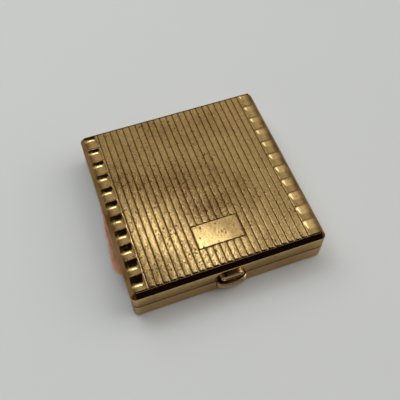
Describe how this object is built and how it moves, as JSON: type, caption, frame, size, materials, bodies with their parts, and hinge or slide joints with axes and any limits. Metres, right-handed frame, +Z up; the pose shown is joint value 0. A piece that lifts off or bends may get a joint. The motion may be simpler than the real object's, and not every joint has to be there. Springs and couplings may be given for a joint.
{
  "type": "powder compact",
  "caption": "Square gold-tone powder compact: ribbed hinged lid with mirror, fluted side borders, blank cartouche, sifter over a powder well, velour puff and push catch.",
  "frame": {"origin": "centre of the flat underside of the base, with the lid shut", "axes": "+Z up, +Y towards the hinge, -Y towards the thumb catch, +X to the right seen from the catch"},
  "size_m": [0.0726, 0.0735, 0.0155],
  "materials": {
    "gold_tone_case": "worn gold-tone plating over brass, satin with small pits",
    "gold_tone_inner": "bright gold-tone plating, little worn",
    "spring_steel": "blued spring strip and drawn wire",
    "mirror_glass": "silvered glass with a ground edge",
    "packing_card": "grey-brown strawboard",
    "face_powder": "fine matt peach powder",
    "sifter_gauze": "fine plain-woven nylon gauze",
    "velour": "short peach velour nap, dusted with powder",
    "satin": "peach satin"
  },
  "bodies": {
    "base": {"base_shell": "gold_tone_case", "powder_pan": "gold_tone_inner", "powder": "face_powder", "sifter_frame": "gold_tone_inner", "sifter_mesh": "sifter_gauze", "sifter_tab": "gold_tone_inner", "powder_puff": "velour", "puff_backing": "satin", "puff_ribbon": "satin", "base_hinge_leaf": "gold_tone_case", "hinge_pin": "spring_steel", "catch_guide": "gold_tone_inner", "catch_spring": "spring_steel"},
    "lid": {"lid_shell": "gold_tone_case", "lid_hinge_leaf": "gold_tone_case", "lid_thumb_tab": "gold_tone_case", "lid_catch_tongue": "gold_tone_inner", "mirror_frame": "gold_tone_inner", "mirror": "mirror_glass", "mirror_pad": "packing_card"},
    "catch": {"catch_button": "gold_tone_case"}
  },
  "joints": [
    {"name": "lid_hinge", "type": "hinge", "parent": "base", "child": "lid", "pos_m": [0, 0.03535, 0.00715], "axis": [-1, 0, 0], "range_deg": [0, 110]},
    {"name": "catch_press", "type": "slide", "parent": "base", "child": "catch", "axis": [0, 1, 0], "range_m": [0, 0.0008], "stiffness_N_per_m": 400, "springref_m": -0.001, "deforming": ["catch_spring"]}
  ]
}
